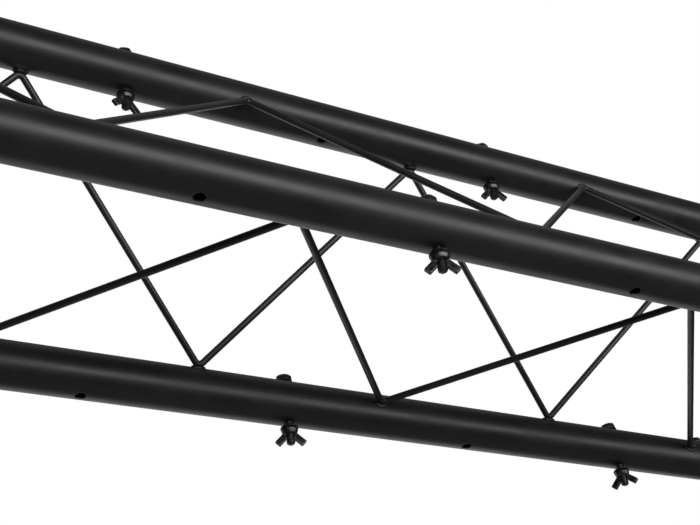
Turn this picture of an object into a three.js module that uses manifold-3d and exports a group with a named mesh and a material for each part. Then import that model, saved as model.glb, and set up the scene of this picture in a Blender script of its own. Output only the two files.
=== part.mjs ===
// Triangular lighting truss section, 1.5 m long, with nine fixture bolts.
// Millimetres, +Z up, X along the truss. The apex chord is on top, and the origin is below the
// middle of the section, level with the lowest wing-nut corners, so the truss rests on Z = 0.
import * as THREE from 'three';
import { mergeVertices } from 'three/addons/utils/BufferGeometryUtils.js';
import Module from 'manifold-3d';

const wasm = await Module();
wasm.setup();

// ---- Driving dimensions ----
const TUBE_OD = 50.8;             // 2 inch chord tube
const TUBE_WALL = 2;
const CHORD_SPACING = 327;        // side of the triangle, centre to centre
const SECTION_LENGTH = 1524;      // 5 ft
const STATION_PITCH = 236;        // from one hole station to the next
const STATION_COUNT = 6;
const BOLT_HOLE = 11.4;           // clearance hole for M10

const ROD_DIAMETER = 7.6;
const BEND_RADIUS = 6;            // centre line of the rod at each bend
const ROD_TAIL = 4;               // straight end of the rod beyond its last bend
const FRONT_BRACE_OFFSET = 11;    // the front zigzag lies outside the plane of its two chords
const REAR_BRACE_OFFSET = 0;
const BOTTOM_BRACE_OFFSET = -2.5;
const FRONT_BRACE_SHIFT = 15;     // how far each zigzag sits along its chords
const REAR_BRACE_SHIFT = 9;
const BOTTOM_BRACE_SHIFT = -9;

const THREAD_OD = 9.8;            // M10, over the crests
const HEAD_ACROSS_FLATS = 17;
const HEAD_HEIGHT = 6.4;
const FIXTURE_BOLT_LENGTH = 80;
const LOCK_BOLT_LENGTH = 65;
const TIP_CHAMFER = 1.4;
const HEX_NUT_HEIGHT = 8.4;
const NUT_BORE = 10.7;            // clear of the thread all round

const WASHER_OD = 20;
const WASHER_ID = 10.8;
const WASHER_THICKNESS = 2;
const WASHER_DROP = 5.5;          // tube underside to the clamping washer, as stored

const WING_BASE_RADIUS = 9.4;
const WING_LIP_RADIUS = 7.2;
const WING_BASE_HEIGHT = 2.4;
const WING_BOSS_HEIGHT = 6.8;
const WING_WIDTH = 7.7;
const WING_THICKNESS = 5;
const WING_SLOPE = Math.PI / 4;   // wings run outward and down
const WING_END_RADIUS = 15.2;     // middle of a wing's end face, from the bolt axis
const WING_END_DROP = 18.2;       // the same point, below the nut's top face

const SPIGOT_OD = 46;
const SPIGOT_WALL = 2.2;
const SPIGOT_LENGTH = 130;        // half inside its chord, half for the next section
const LOCK_INSET = 22;            // lock hole to the end of the chord

const GAP = 0.3;                  // clearance left between touching pieces
const TUBE_SIDES = 20;
const SMALL_SIDES = 12;
const DRILL_SIDES = 8;
const ROD_SIDES = 8;
const BEND_STEPS = 4;
const DRILLED_STRETCH = 16;       // length of tube remade around each hole

// ---- Worked-out dimensions ----
const TUBE_RADIUS = TUBE_OD / 2;
const NUT_DROP = WASHER_DROP + WASHER_THICKNESS + GAP;
const WING_LOW_CORNER = WING_END_DROP + WING_WIDTH / 2 * Math.sin(WING_SLOPE);
const CHORD_BASE_Z = TUBE_RADIUS + NUT_DROP + WING_LOW_CORNER;
const CHORD_TOP_Z = CHORD_BASE_Z + CHORD_SPACING * Math.sin(Math.PI / 3);
const CHORD_START_X = -(SECTION_LENGTH + SPIGOT_LENGTH / 2) / 2;
const CHORD_END_X = CHORD_START_X + SECTION_LENGTH;
const FIRST_STATION_X = CHORD_START_X + (SECTION_LENGTH - STATION_PITCH * (STATION_COUNT - 1)) / 2;

const CHORDS = {
  front: { y: -CHORD_SPACING / 2, z: CHORD_BASE_Z, boltStations: [1, 3, 5] },
  rear: { y: CHORD_SPACING / 2, z: CHORD_BASE_Z, boltStations: [1, 3, 5] },
  top: { y: 0, z: CHORD_TOP_Z, boltStations: [0, 2, 4] },
};

const stationX = (station) => FIRST_STATION_X + station * STATION_PITCH;

// ---- Materials ----
const powderCoat = new THREE.MeshStandardMaterial({ color: 0x17181a, roughness: 0.5, metalness: 0.1 });
const blackHardware = new THREE.MeshStandardMaterial({ color: 0x101012, roughness: 0.35, metalness: 0.7 });
const bareSteel = new THREE.MeshStandardMaterial({ color: 0x8a8d90, roughness: 0.4, metalness: 0.9 });

// ---- Solids ----
function toSolid(geometry) {
  geometry.deleteAttribute('normal');
  geometry.deleteAttribute('uv');
  const merged = mergeVertices(geometry, 1e-4);
  const vertProperties = new Float32Array(merged.attributes.position.array);
  const triVerts = new Uint32Array(merged.index.array);
  return new wasm.Manifold(new wasm.Mesh({ numProp: 3, vertProperties, triVerts }));
}

function toGeometry(solid) {
  const mesh = solid.getMesh();
  const geometry = new THREE.BufferGeometry();
  geometry.setAttribute('position', new THREE.BufferAttribute(mesh.vertProperties, 3));
  geometry.setIndex(new THREE.BufferAttribute(mesh.triVerts, 1));
  geometry.computeVertexNormals();
  return geometry;
}

// The corners of a circle drawn with straight sides, with a side across each axis.
function circlePoints(radius, sides) {
  return Array.from({ length: sides }, (_, index) => {
    const angle = 2 * Math.PI * (index + 0.5) / sides;
    return new THREE.Vector2(radius * Math.cos(angle), radius * Math.sin(angle));
  });
}

// A ring or disc standing on Z = 0.
function ringGeometry(outerRadius, innerRadius, height, sides) {
  const shape = new THREE.Shape(circlePoints(outerRadius, sides));
  if (innerRadius > 0) {
    shape.holes.push(new THREE.Path(circlePoints(innerRadius, sides)));
  }
  return new THREE.ExtrudeGeometry(shape, { depth: height, bevelEnabled: false });
}

// The wall of a tube between two places along Z, without its ends.
function plainWall(outerRadius, wall, from, to) {
  const triangles = [];
  for (const [radius, facing] of [[outerRadius, 1], [outerRadius - wall, -1]]) {
    const corners = circlePoints(radius, TUBE_SIDES);
    corners.forEach((corner, index) => {
      const next = corners[(index + 1) % TUBE_SIDES];
      const [first, second] = facing > 0 ? [corner, next] : [next, corner];
      triangles.push([first.x, first.y, from], [second.x, second.y, from], [second.x, second.y, to]);
      triangles.push([first.x, first.y, from], [second.x, second.y, to], [first.x, first.y, to]);
    });
  }
  return triangles;
}

// The flat ring at one end of a tube.
function endRing(outerRadius, wall, z, facing) {
  const outer = circlePoints(outerRadius, TUBE_SIDES);
  const inner = circlePoints(outerRadius - wall, TUBE_SIDES);
  const triangles = [];
  outer.forEach((corner, index) => {
    const next = (index + 1) % TUBE_SIDES;
    const around = [corner, outer[next], inner[next], inner[index]];
    const order = facing > 0 ? [0, 1, 2, 0, 2, 3] : [0, 2, 1, 0, 3, 2];
    order.forEach((place) => triangles.push([around[place].x, around[place].y, z]));
  });
  return triangles;
}

// A short stretch of tube wall with a hole drilled straight through both sides, without its ends.
function drilledWall(outerRadius, wall, middle) {
  const from = middle - DRILLED_STRETCH / 2;
  const to = middle + DRILLED_STRETCH / 2;
  const blank = ringGeometry(outerRadius, outerRadius - wall, DRILLED_STRETCH, TUBE_SIDES);
  blank.translate(0, 0, from);
  const drill = ringGeometry(BOLT_HOLE / 2, 0, outerRadius * 3, DRILL_SIDES);
  drill.translate(0, 0, -outerRadius * 1.5);
  drill.rotateY(Math.PI / 2);
  drill.translate(0, 0, middle);
  const drilled = toGeometry(toSolid(blank).subtract(toSolid(drill))).toNonIndexed();
  const places = drilled.attributes.position;
  const triangles = [];
  for (let i = 0; i < places.count; i += 3) {
    const corners = [0, 1, 2].map((k) => [places.getX(i + k), places.getY(i + k), places.getZ(i + k)]);
    const atEnd = [from, to].some((end) => corners.every((corner) => Math.abs(corner[2] - end) < 1e-4));
    if (!atEnd) {
      triangles.push(...corners);
    }
  }
  return triangles;
}

// A tube along X with round holes straight down through both walls. It is made in stretches, so
// that no triangle runs from one hole to the next.
function drilledTube(outerRadius, wall, length, holeDistances) {
  const corners = [...endRing(outerRadius, wall, 0, -1), ...endRing(outerRadius, wall, length, 1)];
  let from = 0;
  for (const middle of [...holeDistances].sort((a, b) => a - b)) {
    corners.push(...plainWall(outerRadius, wall, from, middle - DRILLED_STRETCH / 2));
    corners.push(...drilledWall(outerRadius, wall, middle));
    from = middle + DRILLED_STRETCH / 2;
  }
  corners.push(...plainWall(outerRadius, wall, from, length));
  const geometry = new THREE.BufferGeometry();
  geometry.setAttribute('position', new THREE.Float32BufferAttribute(corners.flat(), 3));
  geometry.rotateY(Math.PI / 2);
  const merged = mergeVertices(geometry, 1e-4);
  merged.computeVertexNormals();
  return merged;
}

// A hexagonal prism whose corners are turned off by a cone, standing on Z = 0.
function hexagonGeometry(height, turnedTop, turnedBase) {
  const cornerRadius = HEAD_ACROSS_FLATS / Math.sqrt(3);
  const turnedRadius = HEAD_ACROSS_FLATS * 0.47;
  const turnedHeight = (cornerRadius - turnedRadius) * Math.tan(Math.PI / 6);
  const prism = ringGeometry(cornerRadius, 0, height, 6);
  const outline = [new THREE.Vector2(0, 0)];
  if (turnedBase) {
    outline.push(new THREE.Vector2(turnedRadius, 0));
    outline.push(new THREE.Vector2(cornerRadius, turnedHeight));
  } else {
    outline.push(new THREE.Vector2(cornerRadius, 0));
  }
  if (turnedTop) {
    outline.push(new THREE.Vector2(cornerRadius, height - turnedHeight));
    outline.push(new THREE.Vector2(turnedRadius, height));
  } else {
    outline.push(new THREE.Vector2(cornerRadius, height));
  }
  outline.push(new THREE.Vector2(0, height));
  const turned = new THREE.LatheGeometry(outline, SMALL_SIDES);
  turned.rotateX(Math.PI / 2);
  return toSolid(prism).intersect(toSolid(turned));
}

// The underside of the head is at Z = 0 and the shank points down.
function hexBolt(length) {
  const radius = THREAD_OD / 2;
  const outline = [
    new THREE.Vector2(0, -length),
    new THREE.Vector2(radius - TIP_CHAMFER, -length),
    new THREE.Vector2(radius, TIP_CHAMFER - length),
    new THREE.Vector2(radius, 1),
    new THREE.Vector2(0, 1),
  ];
  const shank = new THREE.LatheGeometry(outline, SMALL_SIDES);
  shank.rotateX(Math.PI / 2);
  return toGeometry(hexagonGeometry(HEAD_HEIGHT, true, false).add(toSolid(shank)));
}

function hexNut() {
  const bore = ringGeometry(NUT_BORE / 2, 0, HEX_NUT_HEIGHT * 2, SMALL_SIDES);
  bore.translate(0, 0, -HEX_NUT_HEIGHT / 2);
  return toGeometry(hexagonGeometry(HEX_NUT_HEIGHT, true, true).subtract(toSolid(bore)));
}

// One wing: a flat bar from the boss outward and down, in the plane of X and Z.
function wingSolid(direction) {
  const run = WING_END_RADIUS - WING_BASE_RADIUS / 3;
  const length = run / Math.cos(WING_SLOPE);
  const bar = new THREE.BoxGeometry(length, WING_THICKNESS, WING_WIDTH);
  bar.translate(-length / 2, 0, 0);
  bar.rotateY(WING_SLOPE);
  bar.translate(WING_END_RADIUS, 0, -WING_END_DROP);
  if (direction < 0) {
    bar.rotateZ(Math.PI);
  }
  return toSolid(bar);
}

// The nut's top face, which meets the washer, is at Z = 0.
function wingNut() {
  const outline = [
    new THREE.Vector2(0, -WING_BOSS_HEIGHT),
    new THREE.Vector2(WING_LIP_RADIUS, -WING_BOSS_HEIGHT),
    new THREE.Vector2(WING_BASE_RADIUS, -WING_BASE_HEIGHT),
    new THREE.Vector2(WING_BASE_RADIUS, 0),
    new THREE.Vector2(0, 0),
  ];
  const boss = new THREE.LatheGeometry(outline, SMALL_SIDES);
  boss.rotateX(Math.PI / 2);
  const bore = ringGeometry(NUT_BORE / 2, 0, 4 * WING_END_DROP, SMALL_SIDES);
  bore.translate(0, 0, -2 * WING_END_DROP);
  const body = toSolid(boss).add(wingSolid(1)).add(wingSolid(-1));
  return toGeometry(body.subtract(toSolid(bore)));
}

// ---- Zigzag braces ----
// A path whose steps fall exactly on the points it is given.
class SteppedPath extends THREE.Curve {
  constructor(points) {
    super();
    this.points = points;
  }

  getPointAt(u, target = new THREE.Vector3()) {
    const place = u * (this.points.length - 1);
    const index = Math.min(Math.floor(place), this.points.length - 2);
    return target.lerpVectors(this.points[index], this.points[index + 1], place - index);
  }

  getTangentAt(u, target = new THREE.Vector3()) {
    const index = Math.round(u * (this.points.length - 1));
    const before = this.points[Math.max(index - 1, 0)];
    const after = this.points[Math.min(index + 1, this.points.length - 1)];
    return target.subVectors(after, before).normalize();
  }
}

// The rod runs from one chord to the other and back, one bend for each station gap and one
// beyond each end station. firstChord is the chord that holds the first bend.
function braceGeometry(firstChord, otherChord, offset, shift) {
  const across = new THREE.Vector3(0, otherChord.y - firstChord.y, otherChord.z - firstChord.z);
  const span = across.length();
  across.normalize();
  const middleY = (firstChord.y + otherChord.y) / 2;
  const middleZ = (firstChord.z + otherChord.z) / 2;
  const outward = new THREE.Vector3(0, middleY, middleZ - (2 * CHORD_BASE_Z + CHORD_TOP_Z) / 3);
  outward.addScaledVector(across, -outward.dot(across)).normalize();

  const reach = TUBE_RADIUS + ROD_DIAMETER / 2 + GAP;
  const bendHeight = Math.sqrt(reach * reach - offset * offset);
  const rise = span - 2 * (bendHeight + BEND_RADIUS);
  const legSlope = Math.atan2(rise, STATION_PITCH)
    + Math.asin(2 * BEND_RADIUS / Math.hypot(rise, STATION_PITCH));

  const place = (x, s) => new THREE.Vector3(x, firstChord.y, firstChord.z)
    .addScaledVector(across, s)
    .addScaledVector(outward, offset);
  const points = [];
  for (let bend = 0; bend <= STATION_COUNT; bend += 1) {
    const x = stationX(bend - 0.5) + shift;
    const low = bend % 2 === 0;
    const side = low ? -1 : 1;
    const centre = low ? bendHeight + BEND_RADIUS : span - bendHeight - BEND_RADIUS;
    if (bend === 0) {
      points.push(place(x - ROD_TAIL, centre + side * BEND_RADIUS));
    }
    const from = bend === 0 ? 0 : -legSlope;
    const to = bend === STATION_COUNT ? 0 : legSlope;
    const steps = bend === 0 || bend === STATION_COUNT ? BEND_STEPS / 2 : BEND_STEPS;
    for (let i = 0; i <= steps; i += 1) {
      const angle = from + (to - from) * i / steps;
      points.push(place(
        x + BEND_RADIUS * Math.sin(angle),
        centre + side * BEND_RADIUS * Math.cos(angle),
      ));
    }
    if (bend === STATION_COUNT) {
      points.push(place(x + ROD_TAIL, centre + side * BEND_RADIUS));
    }
  }
  const section = new THREE.Shape(circlePoints(ROD_DIAMETER / 2, ROD_SIDES));
  const extrudePath = new SteppedPath(points);
  return new THREE.ExtrudeGeometry(section, { steps: points.length - 1, extrudePath, bevelEnabled: false });
}

// ---- Assembly ----
const truss = new THREE.Group();

function addPiece(parent, name, geometry, material) {
  const mesh = new THREE.Mesh(geometry, material);
  mesh.name = name;
  parent.add(mesh);
  return mesh;
}

function addChord(name, chord) {
  const group = new THREE.Group();
  group.position.set(CHORD_START_X, chord.y, chord.z);
  truss.add(group);
  const holes = [LOCK_INSET, SECTION_LENGTH - LOCK_INSET];
  for (let station = 0; station < STATION_COUNT; station += 1) {
    holes.push(stationX(station) - CHORD_START_X);
  }
  addPiece(group, `chord_${name}`, drilledTube(TUBE_RADIUS, TUBE_WALL, SECTION_LENGTH, holes), powderCoat);
}

// The joining tube at one end of a chord, with the bolt and nut that lock it.
function addSpigot(name, chord) {
  const group = new THREE.Group();
  group.position.set(CHORD_END_X - SPIGOT_LENGTH / 2, chord.y, chord.z);
  truss.add(group);
  const middle = SPIGOT_LENGTH / 2;
  const holes = [middle - LOCK_INSET, middle + LOCK_INSET];
  const tube = drilledTube(SPIGOT_OD / 2, SPIGOT_WALL, SPIGOT_LENGTH, holes);
  addPiece(group, `spigot_${name}`, tube, bareSteel);
  const bolt = addPiece(group, `lock_bolt_${name}`, hexBolt(LOCK_BOLT_LENGTH), blackHardware);
  bolt.position.set(middle - LOCK_INSET, 0, TUBE_RADIUS + GAP);
  const nut = addPiece(group, `lock_nut_${name}`, hexNut(), blackHardware);
  nut.position.set(middle - LOCK_INSET, 0, -TUBE_RADIUS - GAP - HEX_NUT_HEIGHT);
}

// A fixture bolt with its head washer, clamping washer and wing nut.
function addFixtureBolt(label, chord, station, turn) {
  const group = new THREE.Group();
  group.position.set(stationX(station), chord.y, chord.z);
  group.rotation.z = turn;
  truss.add(group);
  const washer = () => ringGeometry(WASHER_OD / 2, WASHER_ID / 2, WASHER_THICKNESS, SMALL_SIDES);
  const head = addPiece(group, `head_washer_${label}`, washer(), blackHardware);
  head.position.z = TUBE_RADIUS + GAP;
  const bolt = addPiece(group, `bolt_${label}`, hexBolt(FIXTURE_BOLT_LENGTH), blackHardware);
  bolt.position.z = TUBE_RADIUS + WASHER_THICKNESS + 2 * GAP;
  const clamp = addPiece(group, `clamp_washer_${label}`, washer(), blackHardware);
  clamp.position.z = -TUBE_RADIUS - WASHER_DROP - WASHER_THICKNESS;
  const nut = addPiece(group, `wing_nut_${label}`, wingNut(), blackHardware);
  nut.position.z = -TUBE_RADIUS - NUT_DROP;
}

// The wing nuts were left at whatever angle they stopped at.
const WING_TURNS = {
  front: [0.5, -0.32, 0.2],
  rear: [0.9, -0.26, -0.95],
  top: [0.35, 0.3, -0.16],
};

for (const [name, chord] of Object.entries(CHORDS)) {
  addChord(name, chord);
  addSpigot(name, chord);
  chord.boltStations.forEach((station, index) => {
    addFixtureBolt(`${name}_${index + 1}`, chord, station, WING_TURNS[name][index]);
  });
}

const { front, rear, top } = CHORDS;
addPiece(truss, 'brace_front', braceGeometry(front, top, FRONT_BRACE_OFFSET, FRONT_BRACE_SHIFT), powderCoat);
addPiece(truss, 'brace_rear', braceGeometry(top, rear, REAR_BRACE_OFFSET, REAR_BRACE_SHIFT), powderCoat);
addPiece(truss, 'brace_bottom', braceGeometry(rear, front, BOTTOM_BRACE_OFFSET, BOTTOM_BRACE_SHIFT), powderCoat);

export default truss;
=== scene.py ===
import math
from functools import partial

import bmesh
import bpy
from bpy.props import FloatProperty, FloatVectorProperty, PointerProperty
from mathutils import Matrix, Quaternion, Vector, noise


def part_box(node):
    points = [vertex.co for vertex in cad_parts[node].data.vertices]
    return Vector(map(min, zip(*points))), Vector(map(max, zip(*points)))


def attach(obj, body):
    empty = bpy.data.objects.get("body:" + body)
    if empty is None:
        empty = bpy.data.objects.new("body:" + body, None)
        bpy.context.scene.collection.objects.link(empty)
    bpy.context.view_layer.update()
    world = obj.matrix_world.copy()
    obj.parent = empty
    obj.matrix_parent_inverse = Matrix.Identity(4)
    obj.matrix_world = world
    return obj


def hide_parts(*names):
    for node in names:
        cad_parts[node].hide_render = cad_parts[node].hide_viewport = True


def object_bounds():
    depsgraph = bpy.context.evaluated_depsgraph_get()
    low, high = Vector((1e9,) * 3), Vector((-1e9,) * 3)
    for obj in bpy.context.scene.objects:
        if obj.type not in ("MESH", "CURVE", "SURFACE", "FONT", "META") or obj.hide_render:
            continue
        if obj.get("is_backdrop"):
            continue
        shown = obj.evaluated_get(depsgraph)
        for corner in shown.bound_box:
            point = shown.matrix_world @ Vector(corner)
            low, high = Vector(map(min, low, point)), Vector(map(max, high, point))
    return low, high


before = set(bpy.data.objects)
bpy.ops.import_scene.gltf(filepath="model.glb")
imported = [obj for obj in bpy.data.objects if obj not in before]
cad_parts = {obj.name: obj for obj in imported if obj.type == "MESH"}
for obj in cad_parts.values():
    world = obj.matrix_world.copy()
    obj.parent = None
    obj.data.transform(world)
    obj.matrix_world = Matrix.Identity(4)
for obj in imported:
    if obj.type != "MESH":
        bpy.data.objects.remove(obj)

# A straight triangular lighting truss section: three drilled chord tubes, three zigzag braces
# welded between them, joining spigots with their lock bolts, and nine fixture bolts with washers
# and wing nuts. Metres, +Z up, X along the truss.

bl_info = {
    "name": "Lighting Truss Section",
    "version": (1, 0, 0),
    "blender": (4, 5, 0),
    "location": "View3D > Sidebar > Truss",
    "description": "Builds the tubes, braces, welds, spigots and fixture bolts of a truss section",
    "category": "Object",
}

CAD_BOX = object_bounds()
MM = 0.001

CHORDS = ("front", "rear", "top")
BOLTS = [f"{chord}_{index}" for chord in CHORDS for index in (1, 2, 3)]
# Each braced face, with the chord that holds the first bend and the chord across from it.
FACES = {"front": ("front", "top"), "rear": ("top", "rear"), "bottom": ("rear", "front")}
# How far each zigzag lies outside the plane of its two chords.
FACE_OUTSET = {"front": 11 * MM, "rear": 0.0, "bottom": -2.5 * MM}
# Material and slot of the turned fasteners.
HARDWARE = ("blackened_steel", "black_hardware")

# How finely the shapes are divided.
TUBE_SIDES = 96
PATCH_STEPS = 5          # tube sides from the middle of a hole to the edge of its patch
PLAIN_PATCHES = 4        # length of a ring of plain tube, in patches
ROD_SIDES = 28
BEND_STEPS = 14
BEAD_STEPS = 60
BEAD_SIDES = 14
SHANK_SIDES = 40
LATHE_SIDES = 72
FLOOR_SIDES = 96
HEX_SIDE_ANGLES = (-30, -29.3, -28.6, -27, -20, -10, 0, 10, 20, 27, 28.6, 29.3)

# Edges and cleaning up.
ARC = 0.3                # where the middle of a rounded edge lies, as a share of its rounding
ROD_END_EDGE = 0.6 * MM
WASHER_ROLLED_EDGE = 0.45 * MM
WASHER_SHARP_EDGE = 0.15 * MM
MERGE_DISTANCE = 0.002 * MM
SLIVER_LENGTH = 0.001 * MM
CORNER_BAND = 0.2 * MM   # points this near to the furthest one show how a piece is turned
SHARP_DEGREES = 38
FORGED_SHARP_DEGREES = 50

# Hexagons: half the angle of one side, and the turned face's radius over the width.
HEX_HALF = math.pi / 6
HEX_SLOPE = math.tan(HEX_HALF)
HEX_CORNER = 0.5 * MM
HEX_EDGE = 0.3 * MM
TURNED_SHARE = 0.47
NUT_LEAD = 0.8 * MM

# Threads: depth of each row in one turn, and the tip as (share of its radius, height) steps.
THREAD_FORM = (1, 0.92, 0.45, 0, 0, 0.45)
THREAD_ROWS = len(THREAD_FORM)
THREAD_RUNOUT = 3 * MM
TIP_CROWN = 0.4 * MM
TIP_DOME = ((1, TIP_CROWN), (0.75, 0.16 * MM), (0.4, 0.03 * MM), (0, 0))
SHANK_OVERLAP = 1 * MM   # how far a shank reaches into its head

# Weld beads: height over width, ripples round one, and sizes as shares of the radius.
BEAD_FLATNESS = 0.85
BEAD_RIPPLES = 15
BEAD_RIPPLE = 0.07
BEAD_UNEVEN = 0.16
BEAD_NUDGE = 0.01        # turn over which a bead's direction is read
# How far the noise moves on from bead to bead, per metre, per turn and per outset.
NOISE_BEND, NOISE_PLACE, NOISE_TURN, NOISE_OUTSET = 7.3, 50, 1.7, 900

# Wing nuts.
WING_BEVEL = 1.1 * MM
WING_BEVEL_STEPS = 3
WING_BEVEL_FULLNESS = 0.6
FORGING_LEAD = 0.6 * MM
FORGING_SOFTNESS = 0.5
FORGING_PASSES = 7
DRILL_REACH = 4          # half length of the drill, over how far the wings hang down
EDGE_GAIN = 5            # how fast a bulge of the surface turns into wear


# ---- What the frame says ----
def middle(node):
    low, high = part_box(node)
    return (low + high) / 2


def station_places():
    """X of every hole station: the bolts of two neighbouring chords stand at alternate ones."""
    return sorted(middle(f"bolt_{label}").x for label in BOLTS if not label.startswith("rear"))


def turn_of(node, centre, symmetry):
    """How far a piece is turned about Z, from the corners that stand furthest from its axis."""
    flat = [(v.co - centre).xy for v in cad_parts[node].data.vertices]
    reach = max(p.length for p in flat)
    outer = [math.atan2(p.y, p.x) * symmetry for p in flat if p.length > reach - CORNER_BAND]
    return math.atan2(sum(map(math.sin, outer)), sum(map(math.cos, outer))) / symmetry


def around(count):
    """Angles of points spread evenly round a circle."""
    return [2 * math.pi * index / count for index in range(count)]


# ---- Properties ----
def sort_of(make, **fixed):
    """A short way to declare properties of one kind."""

    def declare(name, description, default, **limits):
        return make(name=name, description=description, default=default, **{**fixed, **limits})

    return declare


length = sort_of(FloatProperty, min=0, unit="LENGTH", precision=5)
position = sort_of(FloatVectorProperty, unit="LENGTH")
rotation = sort_of(FloatProperty, unit="ROTATION")
watts = sort_of(FloatProperty, min=0, unit="POWER")
colour = sort_of(FloatVectorProperty, min=0, max=1, size=3, subtype="COLOR")
factor = sort_of(FloatProperty, min=0, max=1, subtype="FACTOR")


class TrussSizes(bpy.types.PropertyGroup):
    tube_radius: length("Tube Radius", "Outside radius of a chord tube", 25.4 * MM)
    tube_wall: length("Tube Wall", "Wall of a chord tube", 2 * MM)
    tube_edge: length("Tube Edge", "Rounding of its cut ends", 0.45 * MM)
    hole_radius: length("Hole Radius", "Radius of the bolt holes", 5.7 * MM)
    hole_edge: length("Hole Edge", "Rounding of the bolt holes", 0.5 * MM)
    spigot_radius: length("Spigot Radius", "Outside radius of a joining spigot", 23 * MM)
    spigot_wall: length("Spigot Wall", "Wall of a joining spigot", 2.2 * MM)
    spigot_edge: length("Spigot Edge", "Lead-in at the ends of a spigot", 0.9 * MM)
    rod_radius: length("Rod Radius", "Radius of the brace rod", 3.8 * MM)
    bend_radius: length("Bend Radius", "Radius of the rod's middle line at each bend", 6 * MM)
    rod_tail: length("Rod Tail", "Straight end of a rod beyond its last bend", 4 * MM)
    rod_gap: length("Rod Gap", "Gap between rod and tube that the weld fills", 0.3 * MM)
    bead_radius: length("Bead Radius", "Radius of the weld bead", 2.4 * MM)
    bead_reach: length("Bead Reach", "Half length of the weld along the tube", 5.8 * MM)
    bead_width: length("Bead Width", "Half width of the weld across the rod", 4 * MM)
    shank_radius: length("Shank Radius", "Radius over the thread's crests", 4.9 * MM)
    thread_pitch: length("Thread Pitch", "Travel of a nut in one turn", 1.5 * MM)
    thread_depth: length("Thread Depth", "Depth of the thread", 0.86 * MM)
    thread_length: length("Thread Length", "Threaded part of a bolt, from its tip", 34 * MM)
    tip_chamfer: length("Tip Chamfer", "Chamfer at the tip of a bolt", 1.4 * MM)
    across_flats: length("Across Flats", "Size of the hexagons", 17 * MM)
    head_height: length("Head Height", "Height of a bolt head", 6.4 * MM)
    nut_bore: length("Nut Bore", "Radius of the nuts' bores", 5.35 * MM)
    washer_radius: length("Washer Radius", "Outside radius of a washer", 10 * MM)
    washer_bore: length("Washer Bore", "Radius of a washer's hole", 5.4 * MM)
    wing_base_radius: length("Nut Base Radius", "Radius of the wing nut's face", 9.4 * MM)
    wing_lip_radius: length("Nut Lip Radius", "Radius of the wing nut's lower lip", 7.2 * MM)
    wing_base_height: length("Nut Base Height", "Straight part of the base", 2.4 * MM)
    wing_boss_height: length("Nut Boss Height", "Height of the wing nut's boss", 6.8 * MM)
    wing_width: length("Wing Width", "Width of a wing", 7.7 * MM)
    wing_thickness: length("Wing Thickness", "Thickness of a wing", 5 * MM)
    wing_end_radius: length("Wing Reach", "Middle of a wing's end, from the axis", 15.2 * MM)
    wing_end_drop: length("Wing Drop", "Middle of a wing's end, below the nut's face", 18.2 * MM)
    wing_slope: rotation("Wing Slope", "Slope of the wings", math.pi / 4)
    forging_step: length("Forging Step", "Fineness of the wing nuts", 0.42 * MM, min=0.1 * MM)


class TrussFinish(bpy.types.PropertyGroup):
    coat: colour("Powder Coat", "Colour of the powder coat", (0.0066, 0.0066, 0.007))
    coat_light: colour("Coat, Thin", "Where the coat is thin", (0.0105, 0.0105, 0.011))
    # Rods and weld beads: the tubes' black powder coat, painted lighter. The extra lightness is
    # painted light, standing in for the light that the thin rods catch.
    rod_coat: colour("Rod Coat", "Colour of the rods", (0.0125, 0.0125, 0.013))
    rod_coat_light: colour("Rod Coat, Thin", "Where it is thin", (0.019, 0.019, 0.0195))
    coat_worn: colour("Coat, Rubbed", "Colour of a rubbed edge of the coat", (0.085, 0.085, 0.088))
    hardware: colour("Hardware", "Colour of the black fasteners", (0.045, 0.045, 0.047))
    hardware_light: colour("Hardware, Thin", "Where the black is thin", (0.085, 0.085, 0.087))
    hardware_worn: colour("Hardware, Rubbed", "Steel showing at the edges", (0.36, 0.36, 0.365))
    zinc: colour("Zinc", "Colour of the zinc plate", (0.5, 0.51, 0.53))
    zinc_dull: colour("Zinc, Dull", "Colour of the duller patches", (0.33, 0.34, 0.36))
    zinc_rubbed: colour("Zinc, Rubbed", "Colour of the rubbed steel", (0.68, 0.68, 0.68))
    dust: colour("Dust", "Colour of the settled dust", (0.2, 0.19, 0.175))
    dust_amount: factor("Dust Amount", "How much dust lies on upward faces", 0.1)
    wear_amount: factor("Wear Amount", "How far the edges are rubbed", 0.4)


class TrussStage(bpy.types.PropertyGroup):
    eye: position("Eye", "Camera's place", (-0.4714, -0.8572, -0.6218))
    aim: position("Aim", "Point it looks at", (0.0931, -0.0026, 0.1333))
    roll: rotation("Roll", "Camera's tilt sideways", math.radians(-9.99))
    lens: FloatProperty(name="Lens", description="Focal length", default=61.17, unit="CAMERA")
    floor_drop: length("Floor Drop", "Floor below the hung truss", 4.2)
    floor_radius: length("Floor Radius", "Radius of the floor", 60.0)
    floor_colour: colour("Floor", "Colour of the floor", (0.78, 0.78, 0.77))
    floor_glow: factor("Floor Glow", "Glow that keeps the far floor pale", 0.72)
    surround: factor("Surround", "Soft light from all round", 0.08, max=4)
    strip: watts("Strip", "Power of the long strip in front", 84)
    overhead: watts("Overhead", "Power of the overhead panel", 11)
    backdrop: watts("Backdrop", "Power of the panel behind", 76)


# ---- Shader node groups ----
def feed(tree, socket, value):
    """Gives a socket a plain value, or joins it to another node's output."""
    if isinstance(value, bpy.types.NodeSocket):
        tree.links.new(value, socket)
    else:
        socket.default_value = value


def add_noise(tree, scale, detail, roughness=0.55, stretch=(1, 1, 1)):
    """A noise pattern fixed to the piece. stretch squeezes the pattern along each axis."""
    coordinates = tree.nodes.new("ShaderNodeTexCoord")
    mapping = tree.nodes.new("ShaderNodeMapping")
    mapping.inputs["Scale"].default_value = stretch
    pattern = tree.nodes.new("ShaderNodeTexNoise")
    pattern.inputs["Detail"].default_value = detail
    pattern.inputs["Roughness"].default_value = roughness
    tree.links.new(coordinates.outputs["Object"], mapping.inputs["Vector"])
    tree.links.new(mapping.outputs["Vector"], pattern.inputs["Vector"])
    feed(tree, pattern.inputs["Scale"], scale)
    return pattern.outputs["Fac"]


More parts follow.
